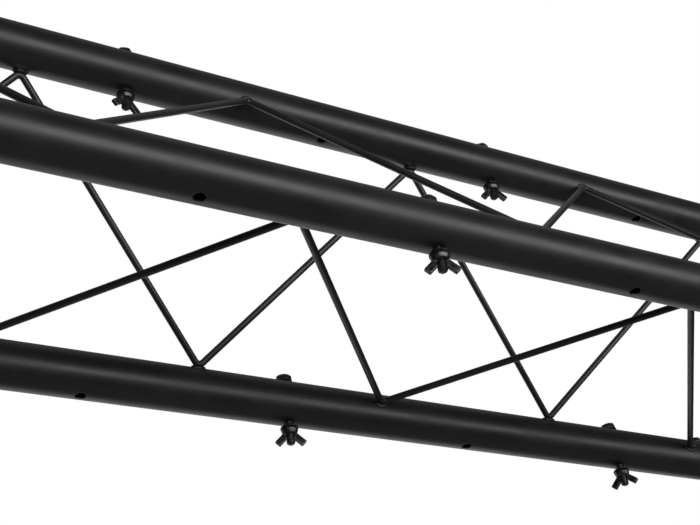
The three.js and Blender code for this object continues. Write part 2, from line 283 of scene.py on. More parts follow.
def add_math(tree, operation, first, second, clamp=False):
    node = tree.nodes.new("ShaderNodeMath")
    node.operation = operation
    node.use_clamp = clamp
    for socket, value in zip(node.inputs, (first, second)):
        feed(tree, socket, value)
    return node.outputs["Value"]


def add_range(tree, value, from_low, from_high, to_low=0.0, to_high=1.0):
    node = tree.nodes.new("ShaderNodeMapRange")
    node.interpolation_type = "SMOOTHSTEP"
    limits = {"From Min": from_low, "From Max": from_high, "To Min": to_low, "To Max": to_high}
    for label, limit in limits.items():
        node.inputs[label].default_value = limit
    tree.links.new(value, node.inputs["Value"])
    return node.outputs["Result"]


def fine_grain(tree, given):
    """Fine relief: a close grain with a slower wave under it."""
    close = add_noise(tree, given["Scale"], detail=3)
    slow = add_noise(tree, given["Wave Scale"], detail=2)
    return add_math(tree, "ADD", close, add_math(tree, "MULTIPLY", slow, given["Wave"]))


def mottle(tree, given):
    """Slow patches over the surface, from 0 to 1."""
    return add_range(tree, add_noise(tree, given["Scale"], detail=5, roughness=0.6), 0.34, 0.66)


def edge_wear(tree, given):
    """Rubbed edges: the edge weight of the mesh, broken up by noise."""
    edge = tree.nodes.new("ShaderNodeAttribute")
    edge.attribute_name = "wear"
    broken = add_noise(tree, given["Scale"], detail=4, roughness=0.65)
    weighted = add_math(tree, "MULTIPLY", edge.outputs["Fac"], broken)
    return add_range(tree, add_math(tree, "MULTIPLY", weighted, given["Amount"]), 0.09, 0.3)


def settled_dust(tree, given):
    """Dust on the faces that look up."""
    geometry = tree.nodes.new("ShaderNodeNewGeometry")
    split = tree.nodes.new("ShaderNodeSeparateXYZ")
    tree.links.new(geometry.outputs["Normal"], split.inputs["Vector"])
    upward = add_range(tree, split.outputs["Z"], 0.35, 1.0)
    scatter = add_noise(tree, given["Scale"], detail=6, roughness=0.7)
    lying = add_math(tree, "MULTIPLY", upward, add_range(tree, scatter, 0.3, 0.75))
    return add_math(tree, "MULTIPLY", lying, given["Amount"])


def scuffs(tree, given):
    """Thin marks that run along the truss, where sections were slid together."""
    lines = add_noise(tree, given["Scale"], 4, 0.6, stretch=(0.035, 1, 1))
    return add_range(tree, lines, 0.56, 0.7)


# Each shared effect: what makes it, its output, and its inputs with their defaults.
GROUPS = {
    "Fine Grain": (fine_grain, "Height", {"Scale": 700, "Wave Scale": 90, "Wave": 0.5}),
    "Mottle": (mottle, "Patches", {"Scale": 20}),
    "Edge Wear": (edge_wear, "Rubbed", {"Scale": 400, "Amount": 0.4}),
    "Settled Dust": (settled_dust, "Dust", {"Scale": 60, "Amount": 0.1}),
    "Scuffs": (scuffs, "Marks", {"Scale": 500}),
}


def new_group(name):
    effect, output, inputs = GROUPS[name]
    tree = bpy.data.node_groups.new(name, "ShaderNodeTree")
    new_socket = partial(tree.interface.new_socket, socket_type="NodeSocketFloat")
    for label, default in inputs.items():
        new_socket(name=label, in_out="INPUT").default_value = default
    new_socket(name=output, in_out="OUTPUT")
    given, result = tree.nodes.new("NodeGroupInput"), tree.nodes.new("NodeGroupOutput")
    tree.links.new(effect(tree, given.outputs), result.inputs[output])
    return tree


def add_group(tree, name, **values):
    """Places a shared group in a material with its own values, and returns its output."""
    node = tree.nodes.new("ShaderNodeGroup")
    node.node_tree = bpy.data.node_groups.get(name) or new_group(name)
    for label, value in values.items():
        node.inputs[label.replace("_", " ")].default_value = value
    return node.outputs[0]


# ---- Materials ----
def new_material(name):
    material = bpy.data.materials.new(name)
    material.use_nodes = True
    return material, material.node_tree, material.node_tree.nodes["Principled BSDF"]


def blend_colours(tree, mask, first, second):
    """Mixes two colours by a mask. Each is a plain colour or another node's output."""
    node = tree.nodes.new("ShaderNodeMix")
    node.data_type = "RGBA"
    tree.links.new(mask, node.inputs["Factor"])
    for socket, value in ((node.inputs[6], first), (node.inputs[7], second)):
        joined = isinstance(value, bpy.types.NodeSocket)
        feed(tree, socket, value if joined else (*value, 1))
    return node.outputs[2]


def add_bump(tree, height, shader, strength, distance):
    bump = tree.nodes.new("ShaderNodeBump")
    bump.inputs["Strength"].default_value = strength
    bump.inputs["Distance"].default_value = distance
    tree.links.new(height, bump.inputs["Height"])
    tree.links.new(bump.outputs["Normal"], shader.inputs["Normal"])


def lay_colours(tree, shader, base, *layers):
    """Base colour: a plain colour with (mask, colour) layers over it."""
    for mask, over in layers:
        base = blend_colours(tree, mask, base, over)
    tree.links.new(base, shader.inputs["Base Color"])


def set_roughness(tree, shader, patches, smooth, rough, extra):
    """Roughness that follows the patches, with more where the extra mask lies."""
    spread = add_range(tree, patches, 0, 1, smooth, rough)
    tree.links.new(add_math(tree, "ADD", spread, extra, clamp=True), shader.inputs["Roughness"])


def black_finish(name, tone, scales, metallic, depth, grain, wave, wave_scale, relief, gloss):
    """Black with thin patches, rubbed edges and dust, whose scales are given in that order.

    gloss holds the least and the greatest roughness.
    """
    finish = bpy.context.scene.truss_finish
    material, tree, shader = new_material(name)
    patches = add_group(tree, "Mottle", Scale=scales[0])
    rubbed = add_group(tree, "Edge Wear", Scale=scales[1], Amount=finish.wear_amount)
    dust = add_group(tree, "Settled Dust", Scale=scales[2], Amount=finish.dust_amount)
    thin = (patches, getattr(finish, f"{tone}_light"))
    worn = (rubbed, finish.hardware_worn if metallic else finish.coat_worn)
    lay_colours(tree, shader, getattr(finish, tone), thin, worn, (dust, finish.dust))
    shader.inputs["Metallic"].default_value = metallic
    set_roughness(tree, shader, patches, *gloss, dust)
    height = add_group(tree, "Fine Grain", Scale=grain, Wave_Scale=wave_scale, Wave=wave)
    add_bump(tree, height, shader, relief, depth)
    return material


def zinc_plated(name):
    """Zinc-plated steel: dull patches, drawn lines, marks from sliding and rubbed edges."""
    finish = bpy.context.scene.truss_finish
    material, tree, shader = new_material(name)
    patches = add_group(tree, "Mottle", Scale=70)
    marks = add_group(tree, "Scuffs", Scale=420)
    rubbed = add_group(tree, "Edge Wear", Scale=500, Amount=finish.wear_amount)
    dull = ((patches, finish.zinc_dull), (marks, finish.zinc_dull))
    lay_colours(tree, shader, finish.zinc, *dull, (rubbed, finish.zinc_rubbed))
    shader.inputs["Metallic"].default_value = 1.0
    set_roughness(tree, shader, patches, 0.27, 0.4, add_math(tree, "MULTIPLY", marks, 0.12))
    drawn = add_noise(tree, 900, 3, 0.5, stretch=(0.02, 1, 1))
    add_bump(tree, drawn, shader, strength=0.16, distance=0.1 * MM)
    return material


powder_coat = partial(black_finish, scales=(14, 420, 55), metallic=0, depth=0.25 * MM)
black_steel = partial(
    black_finish, tone="hardware", scales=(180, 900, 160), metallic=0.85, depth=0.15 * MM
)
MATERIALS = {
    "tube_powder_coat": partial(
        powder_coat, tone="coat",
        grain=950, wave=0.6, wave_scale=130, relief=0.2, gloss=(0.385, 0.455),
    ),
    # The rods and the welds take the rod coat: black powder coat with painted light in its lighter
    # colour.
    "rod_powder_coat": partial(
        powder_coat, tone="rod_coat",
        grain=950, wave=0.5, wave_scale=170, relief=0.08, gloss=(0.385, 0.455),
    ),
    "weld_powder_coat": partial(
        powder_coat, tone="rod_coat",
        grain=700, wave=1.6, wave_scale=260, relief=0.2, gloss=(0.345, 0.415),
    ),
    "blackened_steel": partial(
        black_steel, grain=2600, wave=0.4, wave_scale=520, relief=0.18, gloss=(0.26, 0.4)
    ),
    "forged_black": partial(
        black_steel, grain=1700, wave=1.4, wave_scale=340, relief=0.42, gloss=(0.24, 0.38)
    ),
    "zinc_plate": zinc_plated,
}


def material_named(name):
    return bpy.data.materials.get(name) or MATERIALS[name](name)


# ---- Building solids ----
class Solid:
    """Gathers the faces of one mesh. Each point carries how much its edge is rubbed."""

    def __init__(self):
        self.mesh = bmesh.new()
        self.wear = self.mesh.verts.layers.float.new("wear")

    def point(self, place, wear=0.0):
        vertex = self.mesh.verts.new(place)
        vertex[self.wear] = wear
        return vertex

    def ring(self, places, wear=0.0):
        return [self.point(place, wear) for place in places]

    def face(self, *corners):
        self.mesh.faces.new(corners)

    def skin(self, rings, closed=False):
        """Faces from each closed ring to the next, and from the last to the first where closed."""
        for first, second in zip(rings, rings[1:] + (rings[:1] if closed else [])):
            for index in range(len(first)):
                after = (index + 1) % len(first)
                self.face(first[index], first[after], second[after], second[index])

    def clean(self):
        bmesh.ops.remove_doubles(self.mesh, verts=self.mesh.verts, dist=MERGE_DISTANCE)
        bmesh.ops.dissolve_degenerate(self.mesh, edges=self.mesh.edges, dist=SLIVER_LENGTH)
        bmesh.ops.recalc_face_normals(self.mesh, faces=self.mesh.faces)

    def to_mesh(self, name):
        self.clean()
        made = bpy.data.meshes.new(name)
        self.mesh.to_mesh(made)
        self.mesh.free()
        return made


def add_piece(name, mesh, material, body, slot, node=None, sharp=SHARP_DEGREES):
    """Puts a mesh in the scene, riding on its body and standing for its CAD node."""
    mesh.materials.clear()
    mesh.materials.append(material_named(material))
    mesh.polygons.foreach_set("use_smooth", [True] * len(mesh.polygons))
    mesh.set_sharp_from_angle(angle=math.radians(sharp))
    piece = bpy.data.objects.new(name, mesh)
    bpy.context.scene.collection.objects.link(piece)
    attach(piece, body)
    if node:
        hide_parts(node)


def add_solid(solid, node, part, material, slot, body="root"):
    """Adds a solid as the piece that stands for a CAD node and is named after it."""
    name = f"{node}_{part}"
    add_piece(name, solid.to_mesh(name), material, body, slot, node)


def lathe(solid, centre, profile, closed=False):
    """Turns (radius, height, wear) points about a vertical axis. An open profile meets the axis."""
    rings = []
    for radius, height, wear in profile:
        rings.append(solid.ring([
            centre + Vector((radius * math.cos(turn), radius * math.sin(turn), height))
            for turn in around(LATHE_SIDES)
        ], wear))
    solid.skin(rings, closed)


class TubeShape:
    """A tube along X with holes drilled straight down through both walls."""

    def __init__(self, solid, middle_line, radius, wall):
        sizes = bpy.context.scene.truss_sizes
        self.solid = solid
        self.y, self.z = middle_line.y, middle_line.z
        self.walls = (radius, radius - wall)
        self.hole_radius, self.hole_edge = sizes.hole_radius, sizes.hole_edge
        self.turn = 2 * math.pi / TUBE_SIDES
        self.patch = radius * self.turn * PATCH_STEPS

    def place(self, x, angle, radius):
        return Vector((x, self.y + radius * math.cos(angle), self.z + radius * math.sin(angle)))

    def circle(self, x, radius, wear=0.0):
        places = [self.place(x, self.turn * side, radius) for side in range(TUBE_SIDES)]
        return self.solid.ring(places, wear)

    def plain(self, start, end):
        """A stretch with no holes, in short rings."""
        count = max(1, round((end - start) / (PLAIN_PATCHES * self.patch)))
        for radius in self.walls:
            places = (start + (end - start) * index / count for index in range(count + 1))
            self.solid.skin([self.circle(x, radius) for x in places])

    def end(self, x, inward, edge):
        """The cut end, with both of its edges rounded. inward points along the tube."""
        outer, inner = self.walls
        arc = ARC * edge
        steps = [
            (edge, outer, 0.2), (arc, outer - arc, 1.0), (0, outer - edge, 0.5),
            (0, inner + edge, 0.5), (arc, inner + arc, 0.8), (edge, inner, 0.1),
        ]
        rings = [self.circle(x + inward * along, radius, wear) for along, radius, wear in steps]
        self.solid.skin(rings)

    def drilled(self, x):
        """A stretch with a hole at its middle."""
        steps = range(-PATCH_STEPS, PATCH_STEPS)
        quarter = TUBE_SIDES // 4
        holes = (quarter, 3 * quarter)
        for radius in self.walls:
            for side in range(TUBE_SIDES):
                if any(-PATCH_STEPS <= side - hole < PATCH_STEPS for hole in holes):
                    continue
                left, right = self.turn * side, self.turn * (side + 1)
                for step in steps:
                    near = x + self.patch * step / PATCH_STEPS
                    far = x + self.patch * (step + 1) / PATCH_STEPS
                    corners = [(near, left), (far, left), (far, right), (near, right)]
                    self.solid.face(*(self.solid.point(self.place(*c, radius)) for c in corners))
        for hole in holes:
            self.hole(x, self.turn * hole)

    def hole(self, x, towards):
        """One drilled hole with its rounded edges, and the wall from it out to the plain tube."""
        reach = PATCH_STEPS
        steps = range(-reach, reach)
        border = [(i, -reach) for i in steps] + [(reach, i) for i in steps]
        border += [(-i, reach) for i in steps] + [(-reach, -i) for i in steps]

        def ring(radius, tube_radius, wear, share=0):
            """The hole's outline, moved by a share of the way to the border of the patch."""
            places = []
            for along, across in border:
                angle = math.atan2(across, along)
                swing = math.asin(radius * math.sin(angle) / tube_radius)
                away = radius * math.cos(angle) * (1 - share) + self.patch * along / reach * share
                turned = swing * (1 - share) + self.turn * across * share
                places.append(self.place(x + away, towards + turned, tube_radius))
            return self.solid.ring(places, wear)

        outer, inner = self.walls
        edge, drill = self.hole_edge, self.hole_radius
        wide, arc = drill + edge, ARC * edge
        self.solid.skin([
            ring(wide, outer, 0, 1), ring(wide, outer, 0, 0.55), ring(wide, outer, 0.25, 0.15),
            ring(wide, outer, 0.5), ring(drill + arc, outer - arc, 1),
            ring(drill, outer - edge, 0.6), ring(drill, inner + edge, 0.3),
            ring(drill + arc, inner + arc, 0), ring(wide, inner, 0),
            ring(wide, inner, 0.25, 0.15), ring(wide, inner, 0, 0.55), ring(wide, inner, 0, 1),
        ])

    def build(self, start, end, holes, edge):
        self.end(start, 1, edge)
        self.end(end, -1, edge)
        begun = start + edge
        for x in sorted(holes):
            self.plain(begun, x - self.patch)
            self.drilled(x)
            begun = x + self.patch
        self.plain(begun, end - edge)


def drilled_tubes(kind, part, radius, wall, edge, stations, material, slot):
    """A tube for each chord, drilled at the stations and for the lock bolts at both ends."""
    for chord in CHORDS:
        node = f"{kind}_{chord}"
        low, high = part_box(node)
        lock = middle(f"lock_bolt_{chord}").x
        solid = Solid()
        tube = TubeShape(solid, middle(node), radius, wall)
        tube.build(low.x, high.x, [*stations, lock, low.x + high.x - lock], edge)
        add_solid(solid, node, part, material, slot)


def sweep(solid, path, radius, facing, trim):
    """A round rod along a path that lies in one plane, whose normal is facing."""
    last = len(path) - 1
    arc = ARC * trim
    rings = []
    for index, place in enumerate(path):
        along = (path[min(index + 1, last)] - path[max(index - 1, 0)]).normalized()
        side = along.cross(facing).normalized()
        sizes = [(radius, 0.0)]
        if index == 0:
            sizes = [(0, 0), (radius - trim, 0), (radius - arc, arc), (radius, trim)]
        if index == last:
            sizes = [(radius, -trim), (radius - arc, -arc), (radius - trim, 0), (0, 0)]
        for size, shift in sizes:
            places = [
                place + along * shift + (facing * math.cos(turn) + side * math.sin(turn)) * size
                for turn in around(ROD_SIDES)
            ]
            rings.append(solid.ring(places, 0.6 if size < radius else 0.0))
    solid.skin(rings)


class FacePlane:
    """One braced face: where its zigzag runs, and where each bend meets a chord."""

    def __init__(self, face):
        sizes = bpy.context.scene.truss_sizes
        self.sizes = sizes
        self.first, self.other = (middle(f"chord_{chord}") for chord in FACES[face])
        across = Vector((0, self.other.y - self.first.y, self.other.z - self.first.z))
        self.span = across.length
        self.across = across.normalized()
        centre = sum((middle(f"chord_{chord}") for chord in CHORDS), Vector()) / len(CHORDS)
        outward = (self.first + self.other) / 2 - centre
        outward.x = 0
        self.outward = (outward - self.across * outward.dot(self.across)).normalized()
        self.outset = FACE_OUTSET[face]
        reach = sizes.tube_radius + sizes.rod_radius + sizes.rod_gap
        self.bend_height = math.sqrt(reach ** 2 - self.outset ** 2)
        stations = station_places()
        self.pitch = (stations[-1] - stations[0]) / (len(stations) - 1)
        self.bends = len(stations) + 1
        self.bend_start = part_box(f"brace_{face}")[0].x + sizes.rod_tail

    def place(self, x, rise):
        start = Vector((x, self.first.y, self.first.z))
        return start + self.across * rise + self.outward * self.outset

    def bend_place(self, bend):
        """X of a bend, whether it lies on the first chord, and the middle of its arc."""
        on_first = bend % 2 == 0
        rise = self.bend_height + self.sizes.bend_radius
        return self.bend_start + bend * self.pitch, on_first, rise if on_first else self.span - rise

    def path(self):
        """Points of the rod's middle line, from end to end."""
        radius = self.sizes.bend_radius
        leg = self.span - 2 * (self.bend_height + radius)
        slope = math.atan2(leg, self.pitch) + math.asin(2 * radius / math.hypot(leg, self.pitch))
        points = []
        for bend in range(self.bends):
            x, on_first, arc_middle = self.bend_place(bend)
            side = -radius if on_first else radius
            start = 0 if bend == 0 else -slope
            end = 0 if bend == self.bends - 1 else slope
            if bend == 0:
                points.append(self.place(x - self.sizes.rod_tail, arc_middle + side))
            for step in range(BEND_STEPS + 1):
                turn = start + (end - start) * step / BEND_STEPS
                rise = arc_middle + side * math.cos(turn)
                points.append(self.place(x + radius * math.sin(turn), rise))
            if bend == self.bends - 1:
                points.append(self.place(x + self.sizes.rod_tail, arc_middle + side))
        return points

    def weld(self, solid, bend):
        """A rippled bead laid round the bend, on the surface of its chord."""
        sizes = self.sizes
        x, on_first, _ = self.bend_place(bend)
        chord = self.first if on_first else self.other
        lean = self.across * (self.bend_height if on_first else -self.bend_height)
        towards = (lean + self.outward * self.outset).normalized()
        sideways = Vector((1, 0, 0)).cross(towards)

        def seat(turn):
            swing = sizes.bead_width * math.sin(turn) / sizes.tube_radius
            facing = towards * math.cos(swing) + sideways * math.sin(swing)
            along = Vector((x + sizes.bead_reach * math.cos(turn), chord.y, chord.z))
            return along + facing * sizes.tube_radius, facing

        rings = []
        for turn in around(BEAD_STEPS):
            place, facing = seat(turn)
            ahead = (seat(turn + BEAD_NUDGE)[0] - seat(turn - BEAD_NUDGE)[0]).normalized()
            binormal = ahead.cross(facing).normalized()
            start = bend * NOISE_BEND + x * NOISE_PLACE
            uneven = noise.noise(Vector((start, turn * NOISE_TURN, self.outset * NOISE_OUTSET)))
            ripple = BEAD_RIPPLE * math.sin(BEAD_RIPPLES * turn + bend)
            size = sizes.bead_radius * (1 + ripple + BEAD_UNEVEN * uneven)
            rings.append(solid.ring([
                place + (facing * BEAD_FLATNESS * math.cos(a) + binormal * math.sin(a)) * size
                for a in around(BEAD_SIDES)
            ]))
        solid.skin(rings, closed=True)


def hexagon_reach(angle, across_flats):
    """Distance from the axis to the side of a hexagon with rounded corners."""
    half = across_flats / 2
    if abs(half * math.tan(angle)) <= (half - HEX_CORNER) * HEX_SLOPE:
        return half / math.cos(angle)
    arc = Vector((half - HEX_CORNER, (half - HEX_CORNER) * HEX_SLOPE))
    along = arc.x * math.cos(angle) + arc.y * math.sin(abs(angle))
    return along + math.sqrt(along ** 2 - arc.length_squared + HEX_CORNER ** 2)


def hexagon(solid, centre, turn, low, high, turned_base, bore=None):
    """A hexagonal head, or a nut where bore is given. Its corners are turned off by a cone."""
    flats, edge, lead = bpy.context.scene.truss_sizes.across_flats, HEX_EDGE, NUT_LEAD
    turned, arc, fall = flats * TURNED_SHARE, ARC * HEX_EDGE, HEX_EDGE * HEX_SLOPE
    columns = []
    for side in range(6):
        for away in map(math.radians, HEX_SIDE_ANGLES):
            reach = hexagon_reach(away, flats)
            drop = (reach - turned) * HEX_SLOPE
            base = [(reach - edge, low, 0.3), (reach - arc, low + arc, 0.8)]
            base += [(reach, low + edge, 0.3)]
            if turned_base:
                base = [(turned, low, 0.4), (reach - edge, low + drop - fall, 0.7)]
                base += [(reach, low + drop + edge, 0.5)]
            top = [(reach, high - drop - edge, 0.5), (reach - edge, high - drop + fall, 1.0)]
            top += [(turned + edge, high - fall, 0.5), (turned - edge, high, 0.5)]
            if bore:
                inside = [(bore + lead, high, 0.5), (bore, high - lead, 0.2)]
                inside += [(bore, low + lead, 0.2), (bore + lead, low, 0.3)]
                profile = base + top + inside
            else:
                profile = [(0, low, 0)] + base + top + [(turned / 2, high, 0), (0, high, 0)]
            angle = turn + HEX_HALF + side * math.pi / 3 + away
            direction = Vector((math.cos(angle), math.sin(angle), 0))
            columns.append([
                solid.point(Vector((centre.x, centre.y, height)) + direction * radius, wear)
                for radius, height, wear in profile
            ])
    solid.skin([list(row) for row in zip(*columns)], closed=bool(bore))


def threaded_shank(solid, centre, tip, top, turn):
    """A bolt's shank: a helical thread from its domed tip, then plain up to the head."""
    sizes = bpy.context.scene.truss_sizes
    radius, pitch = sizes.shank_radius, sizes.thread_pitch
    valley = [sizes.thread_depth * share for share in THREAD_FORM]
    start = tip + TIP_CROWN
    thread_top = min(tip + sizes.thread_length, top - THREAD_RUNOUT)
    point_radius = radius - sizes.tip_chamfer
    row_count = int(((thread_top - start) / pitch + 2) * THREAD_ROWS) + 1

    def shank_point(row, side):
        height = start - pitch + pitch * (row / THREAD_ROWS + side / SHANK_SIDES)
        height = min(max(height, start), thread_top)
        fade = min(1, (thread_top - height) / THREAD_RUNOUT)
        reach = min(radius - valley[row % THREAD_ROWS] * fade, point_radius + height - start)
        angle = turn + 2 * math.pi * side / SHANK_SIDES
        wear = 0.5 if valley[row % THREAD_ROWS] == 0 else 0.0
        away = Vector((math.cos(angle) * reach, math.sin(angle) * reach, height))
        return solid.point(Vector((centre.x, centre.y, 0)) + away, wear)

    rows = [[shank_point(row, side) for side in range(SHANK_SIDES)] for row in range(row_count)]
    for row in range(row_count - 1):
        for side in range(SHANK_SIDES - 1):
            near, far = rows[row], rows[row + 1]
            solid.face(near[side], near[side + 1], far[side + 1], far[side])
        after = row + THREAD_ROWS
        if after + 1 < row_count:
            solid.face(rows[row][-1], rows[after][0], rows[after + 1][0], rows[row + 1][-1])

    def circle(size, height):
        turns = (turn + away for away in around(SHANK_SIDES))
        return solid.ring([
            (centre.x + size * math.cos(a), centre.y + size * math.sin(a), height) for a in turns
        ])

    dome = [(point_radius * share, tip + rise) for share, rise in TIP_DOME]
    for outline in (dome, [(radius, thread_top), (radius, top), (0, top)]):
        solid.skin([circle(*step) for step in outline])


def bolt_solid(node):
    """A hexagon bolt standing where its CAD node stands."""
    low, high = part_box(node)
    centre = middle(node)
    turn = turn_of(node, centre, 6)
    solid = Solid()
    underside = high.z - bpy.context.scene.truss_sizes.head_height
    threaded_shank(solid, centre, low.z, underside + SHANK_OVERLAP, turn)
    hexagon(solid, centre, turn, underside, high.z, turned_base=False)
    return solid


def washer_solid(node):
    """A stamped washer: its upper edge is rolled over and its lower edge is sharper."""
    sizes = bpy.context.scene.truss_sizes
    low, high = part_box(node)
    outer, inner = sizes.washer_radius, sizes.washer_bore
    rolled, sharp, arc = WASHER_ROLLED_EDGE, WASHER_SHARP_EDGE, ARC * WASHER_ROLLED_EDGE
    profile = [
        (outer, low.z + sharp, 0.6), (outer, high.z - rolled, 0.2),
        (outer - arc, high.z - arc, 1.0), (outer - rolled, high.z, 0.5),
        (inner + sharp, high.z, 0.1), (inner, high.z - sharp, 0.2),
        (inner, low.z + sharp, 0.2), (inner + sharp, low.z, 0.1), (outer - sharp, low.z, 0.6),
    ]
    solid = Solid()
    centre = middle(node)
    lathe(solid, Vector((centre.x, centre.y, 0)), profile, closed=True)
    return solid


# ---- The forged wing nut ----
def wing_bar(sizes, turn):
    """One wing as a block with rounded edges, from inside the boss outward and down."""
    run = sizes.wing_end_radius - sizes.wing_base_radius / 3
    reach = run / math.cos(sizes.wing_slope)
    bar = bmesh.new()
    bmesh.ops.create_cube(bar, size=1)
    bmesh.ops.scale(bar, vec=(reach, sizes.wing_thickness, sizes.wing_width), verts=bar.verts)
    bmesh.ops.translate(bar, vec=(-reach / 2, 0, 0), verts=bar.verts)
    bmesh.ops.bevel(
        bar, geom=bar.edges[:], offset=WING_BEVEL, segments=WING_BEVEL_STEPS,
        profile=WING_BEVEL_FULLNESS, affect="EDGES",
    )
    end = Vector((sizes.wing_end_radius, 0, -sizes.wing_end_drop))
    place = Matrix.Rotation(turn, 4, "Z") @ Matrix.Translation(end)
    place = place @ Matrix.Rotation(sizes.wing_slope, 4, "Y")
    bmesh.ops.transform(bar, matrix=place, verts=bar.verts)
    made = bpy.data.meshes.new("wing_bar")
    bar.to_mesh(made)
    bar.free()
    return made


def edge_weights(mesh):
    """Marks the points that stand out from their neighbours, which are the edges that rub."""
    form = bmesh.new()
    form.from_mesh(mesh)
    layers = form.verts.layers.float
    layer = layers.get("wear") or layers.new("wear")
    for vertex in form.verts:
        stand_out = 0.0
        for link in vertex.link_edges:
            apart = vertex.co - link.other_vert(vertex).co
            stand_out += apart.normalized().dot(vertex.normal)
        bulge = stand_out / max(1, len(vertex.link_edges))
        vertex[layer] = min(1.0, max(0.0, bulge * EDGE_GAIN))
    form.to_mesh(mesh)
    form.free()


def forged_wing_nut():
    """The wing nut, its face at Z = 0: boss and wings grown together, smoothed and bored."""
    sizes = bpy.context.scene.truss_sizes
    base, lip = sizes.wing_base_radius, sizes.wing_lip_radius
    lead, boss = FORGING_LEAD, sizes.wing_boss_height
    profile = [
        (0, 0, 0), (base - lead, 0, 0), (base, -lead, 0), (base, -sizes.wing_base_height, 0),
        (lip + lead, -boss + 1.5 * lead, 0), (lip - lead, -boss, 0), (0, -boss, 0),
    ]
    solid = Solid()
    lathe(solid, Vector(), profile)
    for turn in (0, math.pi):
        bar = wing_bar(sizes, turn)
        solid.mesh.from_mesh(bar)
        bpy.data.meshes.remove(bar)
    blank = bpy.data.objects.new("wing_nut_blank", solid.to_mesh("wing_nut_blank"))
    bore = Solid()
    deep, wide = DRILL_REACH * sizes.wing_end_drop, sizes.nut_bore
    lathe(bore, Vector(), [(0, -deep, 0), (wide, -deep, 0), (wide, deep, 0), (0, deep, 0)])
    drill = bpy.data.objects.new("wing_nut_drill", bore.to_mesh("wing_nut_drill"))
    for helper in (blank, drill):
        bpy.context.scene.collection.objects.link(helper)
    grow = blank.modifiers.new("grow", "REMESH")
    grow.mode = "VOXEL"
    grow.voxel_size = sizes.forging_step
    soften = blank.modifiers.new("soften", "SMOOTH")
    soften.factor, soften.iterations = FORGING_SOFTNESS, FORGING_PASSES
    cut = blank.modifiers.new("bore", "BOOLEAN")
    cut.operation, cut.solver, cut.object = "DIFFERENCE", "EXACT", drill
    grown = blank.evaluated_get(bpy.context.evaluated_depsgraph_get())
    made = bpy.data.meshes.new_from_object(grown)
    for helper in (blank, drill):
        shape = helper.data
        bpy.data.objects.remove(helper)
        bpy.data.meshes.remove(shape)
    edge_weights(made)
    return made


# ---- Operators ----
class TRUSS_OT_stage(bpy.types.Operator):
    """Makes the camera, the floor and the studio light"""

    bl_idname = "truss.stage"
    bl_label = "Stage"

    def panel_light(self, name, place, aim, size, power):
        light = bpy.data.lights.new(name, "AREA")
        light.shape = "RECTANGLE"
        light.size, light.size_y = size
        light.energy = power
        lamp = bpy.data.objects.new(name, light)
        lamp.location = place
        lamp.rotation_euler = (Vector(aim) - Vector(place)).to_track_quat("-Z", "Y").to_euler()
        lamp.visible_camera = False
        bpy.context.scene.collection.objects.link(lamp)

    def place_camera(self, scene, stage):
        camera = bpy.data.objects.new("camera", bpy.data.cameras.new("camera"))
        camera.data.lens = stage.lens
        camera.data.clip_start, camera.data.clip_end = 0.01, 200
        camera.location = stage.eye
        look = (Vector(stage.aim) - Vector(stage.eye)).to_track_quat("-Z", "Y")
        camera.rotation_euler = (look @ Quaternion((0, 0, 1), stage.roll)).to_euler()
        scene.collection.objects.link(camera)
        scene.camera = camera

    def lay_floor(self, scene, stage):
        """A pale disc, with a glow that only the camera sees."""
        floor_mesh = bpy.data.meshes.new("floor")
        form = bmesh.new()
        bmesh.ops.create_circle(
            form, cap_ends=True, segments=FLOOR_SIDES, radius=stage.floor_radius
        )
        bmesh.ops.translate(form, vec=(0, 0, -stage.floor_drop), verts=form.verts)
        form.to_mesh(floor_mesh)
        form.free()
        material, tree, shader = new_material("floor_paint")
        tint = [tone * 0.97 for tone in stage.floor_colour]
        patches = add_group(tree, "Mottle", Scale=1.5)
        lay_colours(tree, shader, stage.floor_colour, (patches, tint))
        shader.inputs["Roughness"].default_value = 0.7
        shader.inputs["Emission Color"].default_value = (1, 1, 1, 1)
        rays = tree.nodes.new("ShaderNodeLightPath")
        glow = add_math(tree, "MULTIPLY", rays.outputs["Is Camera Ray"], stage.floor_glow)
        tree.links.new(glow, shader.inputs["Emission Strength"])
        floor_mesh.materials.append(material)
        floor = bpy.data.objects.new("floor", floor_mesh)
        scene.collection.objects.link(floor)
        floor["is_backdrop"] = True

    def fill_surround(self, scene, stage):
        """Soft light from all round, which the camera sees as plain white."""
        world = bpy.data.worlds.new("studio")
        world.use_nodes = True
        tree = world.node_tree
        tree.nodes.clear()
        rays = tree.nodes.new("ShaderNodeLightPath")
        mix = tree.nodes.new("ShaderNodeMixShader")
        output = tree.nodes.new("ShaderNodeOutputWorld")
        tree.links.new(rays.outputs["Is Camera Ray"], mix.inputs["Fac"])
        for socket, strength in ((mix.inputs[1], stage.surround), (mix.inputs[2], 1.0)):
            light = tree.nodes.new("ShaderNodeBackground")
            light.inputs["Color"].default_value = (1, 1, 1, 1)
            light.inputs["Strength"].default_value = strength
            tree.links.new(light.outputs["Background"], socket)
        tree.links.new(mix.outputs["Shader"], output.inputs["Surface"])
        scene.world = world

    def execute(self, context):
        scene, stage = context.scene, context.scene.truss_stage
        self.place_camera(scene, stage)
        self.lay_floor(scene, stage)
        self.fill_surround(scene, stage)
        heart = middle("chord_top") * 0.5
        self.panel_light(
            "front_strip", place=(1.2, -2.6, -0.2), aim=(1.2, 0, heart.z), size=(5.4, 1.0),
            power=stage.strip,
        )
        self.panel_light(
            "overhead_panel", place=(0, 0.5, 3.0), aim=heart, size=(6.0, 3.0), power=stage.overhead
        )
        self.panel_light(
            "backdrop_panel", place=(0.8, 3.2, 0.2), aim=(0.8, 0, 0.2), size=(6.6, 4.4),
            power=stage.backdrop,
        )
        scene.view_settings.view_transform = "Standard"
        return {"FINISHED"}


